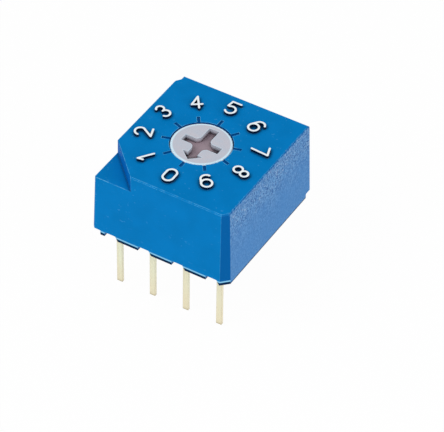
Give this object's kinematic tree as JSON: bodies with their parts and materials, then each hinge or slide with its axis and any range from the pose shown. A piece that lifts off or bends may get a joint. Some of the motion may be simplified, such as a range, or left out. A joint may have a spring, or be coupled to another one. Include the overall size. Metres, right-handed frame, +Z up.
{
  "type": "rotary coded switch",
  "caption": "Square board-mounted rotary coded switch with a screwdriver-slotted rotor, numbered dial, corner key and through-hole pins.",
  "frame": {"origin": "on the rotor's axis, in the plane of the housing's feet, which is the circuit board's top face", "axes": "+Z up along the rotor's axis out of the dial, -Y towards the row of four code pins, +X to the right of that row"},
  "size_m": [0.0101, 0.0106, 0.0111],
  "materials": {
    "housing_blue": "blue moulded thermoplastic, satin top, spark-eroded side",
    "rotor_grey": "light grey moulded plastic",
    "seal_rubber": "black elastomer",
    "spring_steel": "stainless spring strip",
    "contact_gold": "gold-plated contact plate",
    "pin_gold": "pale gold-plated stamped terminal",
    "base_black": "dark moulded thermoplastic",
    "potting_resin": "cast sealing resin"
  },
  "bodies": {
    "stator": {"housing": "housing_blue", "detent_spring": "spring_steel", "terminal_1": "pin_gold", "terminal_4": "pin_gold", "terminal_8": "pin_gold", "terminal_2": "pin_gold", "terminal_common": "pin_gold", "base": "base_black", "potting": "potting_resin"},
    "rotor": {"rotor": "rotor_grey", "shaft_seal": "seal_rubber", "code_plate": "contact_gold"}
  },
  "joints": [
    {"name": "rotor_turn", "type": "hinge", "parent": "stator", "child": "rotor", "pos_m": [0, 0, 0.004], "axis": [0, 0, 1], "continuous": true, "deforming": ["detent_spring"]}
  ]
}
